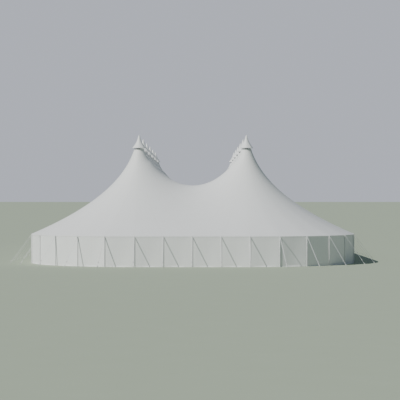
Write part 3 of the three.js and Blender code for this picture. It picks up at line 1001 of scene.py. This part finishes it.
SIDE_BAYS = BAYS_PER_MODULE * (ROWS - 1)
FRONT_LEFT, FRONT_RIGHT = (-POLE_X, -LAST_ROW_Y), (POLE_X, -LAST_ROW_Y)
REAR_LEFT, REAR_RIGHT = (-POLE_X, LAST_ROW_Y), (POLE_X, LAST_ROW_Y)
RUNS = {
    "front": straight_run(FRONT_LEFT, FRONT_RIGHT, BAYS_PER_MODULE, (0, -1)),
    "front_right": corner_run(1, -1),
    "right": straight_run(FRONT_RIGHT, REAR_RIGHT, SIDE_BAYS, (1, 0)),
    "rear_right": corner_run(1, 1),
    "rear": straight_run(REAR_RIGHT, REAR_LEFT, BAYS_PER_MODULE, (0, 1)),
    "rear_left": corner_run(-1, 1),
    "left": straight_run(REAR_LEFT, FRONT_LEFT, SIDE_BAYS, (-1, 0)),
    "front_left": corner_run(-1, -1),
}
RIGGING_NODES = ["side_poles_and_guys_" + place for place in RUNS]


def out_at(station, distance, height=0.0):
    """The point so far out from a station."""
    x, y, out_x, out_y = station
    return Vector((x + out_x * distance, y + out_y * distance, height))


def wall_lean(height):
    """How far inside the eave line the middle of a bay's outer face hangs at a height."""
    for (low, first), (high, second) in zip(WALL_LEAN, WALL_LEAN[1:]):
        if height <= high:
            return between(first, second, (height - low) / (high - low))
    return WALL_LEAN[-1][1]


def wall_heights():
    """Heights of the wall's rows, close together at the hems and where the foot turns out."""
    low, high = FOOT_ROWS[-1], WALL_TOP - 2 * HEM_HEIGHT
    middle = [between(low, high, i / WALL_ROWS) for i in range(1, WALL_ROWS + 1)]
    return [*FOOT_ROWS, *middle, *(WALL_TOP - HEM_HEIGHT * share for share in HEM_ROWS)]


def wall_shift(share, height):
    """How far inside the eave line a place on a bay's panel lies, with its billow, hem and hanger folds."""
    high = height / WALL_TOP
    from_poles = math.sin(math.pi * share) ** BILLOW_ACROSS
    belly = from_poles * math.sin(math.pi * high) ** BILLOW_UP if 0 < high < 1 else 0.0
    fold = math.sin(math.pi * HANGERS_PER_BAY * share) ** 2 * math.exp((height - WALL_TOP) / PINCH_DEPTH)
    pinch = HANGER_PINCH * (1.0 - fold) if high > PINCHED_FROM else 0.0
    hem = HEM_RISE if WALL_TOP - height < HEM_HEIGHT else 0.0
    return wall_lean(height) * from_poles + WALL_BILLOW * belly + pinch - hem


def wall_sheet(place, run, tree, finish):
    """One run of wall: a panel from pole to pole in each bay, hung from its hangers and pegged down."""
    corners, faces, flat_map = [], [], []
    heights = wall_heights()
    rows, bays = len(heights), len(run) - 1
    columns = bays * WALL_COLUMNS + 1
    for column in range(columns):
        bay = min(column // WALL_COLUMNS, bays - 1)
        share = column / WALL_COLUMNS - bay
        start, end = out_at(run[bay], MODULE), out_at(run[bay + 1], MODULE)
        along = (end - start).normalized()
        out = Vector((along.y, -along.x, 0.0))
        trim = JOINT_GAP / 2 * ((column == 0) - (column == columns - 1))
        foot = between(start, end, share) + along * trim
        corners += [foot - out * wall_shift(share, height) + upward(height) for height in heights]
    panel = (out_at(run[1], MODULE) - out_at(run[0], MODULE)).length

    def flat_place(column, row):
        from_post = (column % WALL_COLUMNS) / WALL_COLUMNS * panel % (panel / 2)
        return min(from_post, panel / 2 - from_post), heights[row]

    for column in range(columns - 1):
        for row in range(rows - 1):
            a = column * rows + row
            faces.append((a, a + rows, a + rows + 1, a + 1))
            patch = ((column, row), (column + 1, row), (column + 1, row + 1), (column, row + 1))
            flat_map += [flat_place(*corner) for corner in patch]
    sheet = plain_piece(place + "_wall", corners, faces, flat_map)
    worked(sheet, tree, {"Thickness": WALL_CLOTH, "Finish": finish})
    crisp(sheet)
    handed_over(sheet, "wall_membrane", "wall_" + place)


def station_places(distance):
    """A place on the ground at every side pole's station, turned outwards."""
    places = []
    for name, run in RUNS.items():
        for station in run[1:-1] if "_" in name else run:
            places.append((out_at(station, distance), (0.0, 0.0, math.atan2(station[3], station[2]))))
    return places


def bay_places(distance, height, per_bay):
    """Evenly spaced places along every bay, each turned outwards."""
    places = []
    for run in RUNS.values():
        for first, second in zip(run, run[1:]):
            start, end = out_at(first, distance, height), out_at(second, distance, height)
            turn = (0.0, 0.0, math.atan2(start.x - end.x, end.y - start.y))
            places += [(between(start, end, (i + 0.5) / per_bay), turn) for i in range(per_bay)]
    return places


def repeated(name, places, copy, tree, finish, slot, nodes=(), play=0.0, seed=1):
    """Copies of a model on every place with its turn, as one piece. The model is removed."""
    piece = plain_piece(name, [place for place, _ in places])
    turn = piece.data.attributes.new("turn", "FLOAT_VECTOR", "POINT")
    turn.data.foreach_set("vector", [number for _, turns in places for number in turns])
    worked(piece, tree, {"Copy": copy, "Finish": finish, "Play": play, "Seed": seed})
    bpy.data.objects.remove(copy)
    return handed_over(piece, slot, *nodes)


def side_pole_model():
    """A steel tube on a foot plate, with a head pin for the roof's eyelet and a lug and ring for the guy."""
    shapes = [turned(profile, ROUND_SIDES) for profile in (SIDE_POLE_TUBE, SIDE_POLE_SLEEVE)]
    shapes.append(collar(SIDE_POLE_RADIUS, HEAD_COLLAR_HEIGHT, HEAD_COLLAR, ROUND_SIDES))
    shapes += [turned(SIDE_POLE_PIN, SMALL_SIDES), boxed(*SIDE_POLE_PLATE)]
    shapes += [moved(turned(SIDE_POLE_BOLT, BOLT_SIDES), x, y) for x, y in SIDE_POLE_BOLT_PLACES]
    shapes.append(boxed(*(GUY_HITCH + Vector(corner) for corner in LUG_FROM_HITCH)))
    wide = sideways(GUY_WIDTH / 2 + RING_BESIDE_STRAP)
    ring = [GUY_HITCH + Vector(RING_APEX_FROM_HITCH), GUY_START - wide, GUY_START + wide]
    shapes += [rod(ring[a], ring[b], RING_WIRE, WIRE_SIDES) for a, b in ((0, 1), (0, 2), (1, 2))]
    return assembled("side_pole_model", shapes)


def guy_strap_model():
    """Flat webbing from a sewn eye in the pole's ring to the ratchet, and from there round the stake."""
    half, thick = GUY_WIDTH / 2, GUY_THICKNESS / 2
    corners = []
    for share in STRAP_SHARES:
        layers = 1.0 if SINGLE_STRAP[0] < share < SINGLE_STRAP[1] else SEWN_LAYERS
        for y, z in ((-half, -thick), (half, -thick), (half, thick), (-half, thick)):
            corners.append(between(GUY_START, GUY_TIE, share) + sideways(y) + GUY_UP * (z * layers))
    return assembled("guy_strap_model", [lofted(corners, 4), moved(hoop(STAKE_LOOP), GUY_REACH)])


def ratchet_model():
    """A ratchet: two cheeks, a slotted drum, a handle and its pawl bar, lying along the strap."""
    wide = GUY_WIDTH / 2 + RATCHET_BESIDE_STRAP
    shapes = [moved(boxed(*plate), y=y) for y in (-wide, wide) for plate in RATCHET_PLATES]
    for x, z, beyond, radius, sides in RATCHET_BARS:
        shapes.append(rod((x, -wide - beyond, z), (x, wide + beyond, z), radius, sides))
    low, high = RATCHET_PAWL
    shapes.append(boxed(Vector(low) - sideways(wide), Vector(high) + sideways(wide)))
    centre = between(GUY_START, GUY_TIE, RATCHET_SHARE)
    laid = []
    for corners, faces in shapes:
        placed = [centre + GUY_ALONG * x + sideways(y) + GUY_UP * z for x, y, z in corners]
        laid.append((placed, faces))
    return assembled("ratchet_model", laid)


def stake_model():
    """A driven stake with a mushroomed head and a collar."""
    profile = [(STAKE_RADIUS * wide, STAKE_HEIGHT * high) for wide, high in STAKE_SHARES]
    return assembled("stake_model", [turned(profile, STAKE_SIDES)])


def hanger_model():
    """A cord loop from the wall's eyelet up round the eave belt, with the eyelet's rim."""
    loop = bent_rod([(x, 0.0, z) for x, z in HANGER_LOOP], HANGER_RADIUS, CORD_SIDES)
    corners, faces = turned(EYELET_RIM, SMALL_SIDES)
    rim = [(z, y, EYELET_HEIGHT + x) for x, y, z in corners]
    return assembled("hanger_model", [loop, (rim, faces)])


def peg_model():
    """A small ground peg with a hooked head, through the loop on the wall's foot."""
    points = [(PEG_FROM_WALL, 0.0, 0.0)]
    for a in PEG_ANGLES:
        points.append((PEG_FROM_WALL - PEG_BEND * math.sin(a), 0.0, PEG_BEND_HEIGHT - PEG_BEND * math.cos(a)))
    shaft, ground_collar = bent_rod(points, PEG_RADIUS, WIRE_SIDES), turned(PEG_COLLAR, SMALL_SIDES)
    return assembled("peg_model", [shaft, moved(ground_collar, PEG_FROM_WALL)])


def build_perimeter(cloth_tree, standing_tree, belt_tree, finishes):
    corners = []
    for run in RUNS.values():
        corners += [out_at(station, BELT_LINE, BELT_MIDDLE) for station in run[:-1]]
    edges = [(i, (i + 1) % len(corners)) for i in range(len(corners))]
    belt = plain_piece("eave_belt", corners, edges=edges)
    values = {"Height": BELT_HEIGHT, "Thickness": BELT_THICKNESS, "Finish": finishes["eave_webbing"]}
    handed_over(worked(belt, belt_tree, values), "roof_membrane")
    for place, run in RUNS.items():
        wall_sheet(place, run, cloth_tree, finishes["wall_membrane"])
    poles = station_places(SIDE_POLE_LINE)
    stakes = station_places(SIDE_POLE_LINE + GUY_REACH)
    hangers = bay_places(MODULE, BELT_MIDDLE, HANGERS_PER_BAY)
    pegs = bay_places(PEG_LINE, 0.0, PEGS_PER_BAY)
    steel, wall = "side_pole_steel", "wall_membrane"
    for name, places, model, finish, slot, nodes, play, seed in (
        ("side_poles", poles, side_pole_model(), "side_pole_zinc", steel, RIGGING_NODES, 0.0, 1),
        ("guy_straps", poles, guy_strap_model(), "guy_webbing", steel, (), 0.0, 1),
        ("guy_ratchets", poles, ratchet_model(), "ratchet_zinc", steel, (), 0.0, 1),
        ("guy_stakes", stakes, stake_model(), "ratchet_zinc", steel, (), 0.04, 5),
        ("wall_hangers", hangers, hanger_model(), "lacing_cord", wall, (), 0.03, 3),
        ("wall_pegs", pegs, peg_model(), "ratchet_zinc", steel, (), 0.03, 4),
    ):
        repeated(name, places, model, standing_tree, finishes[finish], slot, nodes, play, seed)


# King poles and caps


def king_pole_model():
    """A tube mast with coupling collars, a gusseted foot plate, and the bale ring with its spokes."""
    half, top, ring = FOOT_WIDTH / 2, upward(FOOT_THICKNESS), upward(BALE_RING_HEIGHT)
    collars = [(height, COUPLING) for height in COUPLING_HEIGHTS] + [(BALE_RING_HEIGHT, RING_SLEEVE)]
    shapes = [collar(KING_POLE_RADIUS, height, size, MAST_SIDES) for height, size in collars]
    shapes += [turned(KING_POLE_TUBE, MAST_SIDES), hoop(BALE_RING)]
    shapes.append(boxed((-half, -half, 0.0), (half, half, FOOT_THICKNESS)))
    for x in FOOT_BOLT_PLACES:
        shapes += [moved(turned(KING_POLE_BOLT, BOLT_SIDES), x, y) for y in FOOT_BOLT_PLACES]
    for angle in around(SPOKES):
        along = outward(angle)
        inner = along * TUBE_WELD
        side = Vector((-along.y, along.x, 0.0)) * GUSSET_HALF_THICKNESS
        rim = [inner + top, along * GUSSET_REACH + top, inner + upward(GUSSET_TOP)]
        shapes.append(lofted([corner + way for way in (-side, side) for corner in rim], 3))
        shapes.append(rod(inner + ring, along * BALE_RING_RADIUS + ring, SPOKE_RADIUS, SMALL_SIDES))
    return assembled("king_pole_model", shapes)


def neck_clamp_model():
    """The hoop that clamps the roof's neck on the bale ring, with its bolts."""
    shapes = [hoop(NECK_CLAMP)]
    for angle in around(CLAMP_BOLTS):
        start = outward(angle) * (CLAMP_RADIUS - CLAMP_BOLT_SINK) + upward(CLAMP_HEIGHT)
        shapes.append(rod(start, start + outward(angle) * CLAMP_BOLT_LENGTH, CLAMP_BOLT_RADIUS, BOLT_SIDES))
    return assembled("neck_clamp_model", shapes)


def cap_scallop(angle):
    """Cloth between two ribs of a rain cap lies a little nearer than the ribs."""
    return 1.0 - CAP_SAG * math.sin(CAP_GORES / 2 * angle) ** 2


def rain_cap_model():
    """A flared cone of cloth on eight ribs, with its lining."""
    outside = smooth_through(CAP_OUTSIDE, CAP_STEPS)
    inside = [(max(r - CAP_LINING_INSET, CAP_LINING_TIP), max(z - CAP_LINING_DROP, 0.0)) for r, z in outside]
    profile = [(r, z + BRIM_HEIGHT) for r, z in inside[::-1] + outside]
    corners, faces = turned(profile, CAP_SIDES, scallop=cap_scallop)
    gore = 2 * math.pi / CAP_GORES
    flat_map = []
    for face in faces:
        for index in face:
            angle = 2 * math.pi * (index % CAP_SIDES) / CAP_SIDES % gore
            x, y, z = corners[index]
            flat_map.append((min(angle, gore - angle) * math.hypot(x, y), z))
    return plain_piece("rain_cap_model", corners, faces, flat_map)


def cap_trim_model():
    """The hem bead round a cap's brim and the button on its tip."""
    button = moved(turned(CAP_BUTTON, ROUND_SIDES), z=CAP_OUTSIDE[-1][1] + BRIM_HEIGHT)
    return assembled("cap_trim_model", [hoop(CAP_HEM, cap_scallop), button])


def cap_frame_model():
    """The hoop under a cap's brim, on eight ribs from the king pole's head."""
    shapes = [hoop(CAP_HOOP)]
    for angle in around(CAP_GORES):
        foot = outward(angle) * CAP_RIB_FOOT_RADIUS + upward(CAP_RIB_FOOT_HEIGHT)
        end = outward(angle) * CAP_HOOP_RADIUS + upward(CAP_HOOP_HEIGHT)
        shapes.append(rod(foot, end, CAP_RIB_RADIUS, WIRE_SIDES))
    return assembled("cap_frame_model", shapes)


def build_king_poles(standing_tree, finishes):
    places, poles, caps = [], [], []
    for side, x in (("left", -POLE_X), ("right", POLE_X)):
        places += [((x, y, 0.0), (0.0, 0.0, 0.0)) for y in ROW_PLACES]
        poles += [f"king_pole_{side}_{row + 1}" for row in range(ROWS)]
        caps += [f"rain_cap_{side}_{row + 1}" for row in range(ROWS)]
    for name, model, finish, slot, nodes in (
        ("king_poles", king_pole_model(), "king_pole_zinc", "king_pole_steel", poles),
        # The clamp is a real part; its darker zinc is painted shade under the cap's brim.
        ("neck_clamps", neck_clamp_model(), "neck_clamp_zinc", "king_pole_steel", ()),
        ("rain_caps", rain_cap_model(), "cap_membrane", "cap_membrane", caps),
        ("cap_hems_and_buttons", cap_trim_model(), "eave_webbing", "cap_membrane", ()),
        ("cap_frames", cap_frame_model(), "king_pole_zinc", "king_pole_steel", ()),
    ):
        piece = repeated(name, places, model, standing_tree, finishes[finish], slot, nodes)
        if name == "rain_caps":
            crisp(piece)


# Floor, light and camera


def build_stage():
    half, low = FLOOR_HALF, FLOOR_LEVEL
    corners = [(-half, -half, low), (half, -half, low), (half, half, low), (-half, half, low)]
    floor = plain_piece("floor", corners, [(0, 1, 2, 3)])
    finish, tree, shader = lit_finish("pale_floor", FLOOR_COLOUR, 0.9)
    place = added(tree, "ShaderNodeTexCoord", output="Object")
    speckle = texture(tree, place, FLOOR_SPOTS, detail=6.0, roughness=0.7)
    plug(blended(tree, speckle, *FLOOR_TONES), shader["Base Color"])
    shader["Specular IOR Level"].default_value = 0.1
    floor.data.materials.append(finish)


def build_light():
    """A plain sky, which is seen paler than it lights, and a sun."""
    world = bpy.data.worlds.new("pale_sky")
    bpy.context.scene.world = world
    world.use_nodes = True
    tree = world.node_tree
    seen = tree.nodes["Background"]
    seen.inputs["Color"].default_value = SKY_SEEN
    fill = added(tree, "ShaderNodeBackground", {"Color": SKY_FILL, "Strength": FILL_STRENGTH})
    looked_at = added(tree, "ShaderNodeLightPath", output="Is Camera Ray")
    chosen = added(tree, "ShaderNodeMixShader", {0: looked_at, 1: fill, 2: seen.outputs[0]})
    plug(chosen, tree.nodes["World Output"].inputs["Surface"])
    lamp = bpy.data.lights.new("sun", "SUN")
    lamp.energy = SUN_STRENGTH
    lamp.angle = SUN_WIDTH
    lamp.color = SUN_COLOUR
    sun = bpy.data.objects.new("sun", lamp)
    sun.rotation_euler = (-Vector(SUN_DIRECTION)).to_track_quat("-Z", "Y").to_euler()
    bpy.context.scene.collection.objects.link(sun)


def place_camera():
    lens = bpy.data.cameras.new("camera")
    lens.lens = LENS_MM
    lens.sensor_width = SENSOR_MM
    lens.clip_end = VIEW_END
    camera = bpy.data.objects.new("camera", lens)
    camera.location = CAMERA_PLACE
    camera.rotation_euler = (math.pi / 2, 0.0, 0.0)
    bpy.context.scene.collection.objects.link(camera)
    bpy.context.scene.camera = camera


finishes = make_finishes()
roof_form, cloth_tree = make_roof_form_group(), make_cloth_tree()
roof_tree, standing_tree = make_roof_tree(roof_form, cloth_tree), make_standing_tree()
build_king_poles(standing_tree, finishes)
build_perimeter(cloth_tree, standing_tree, make_belt_tree(), finishes)
build_roof(roof_tree, finishes["roof_membrane"])
build_joints(roof_tree, make_lacing_tree(roof_form), finishes)
build_stage()
build_light()
place_camera()
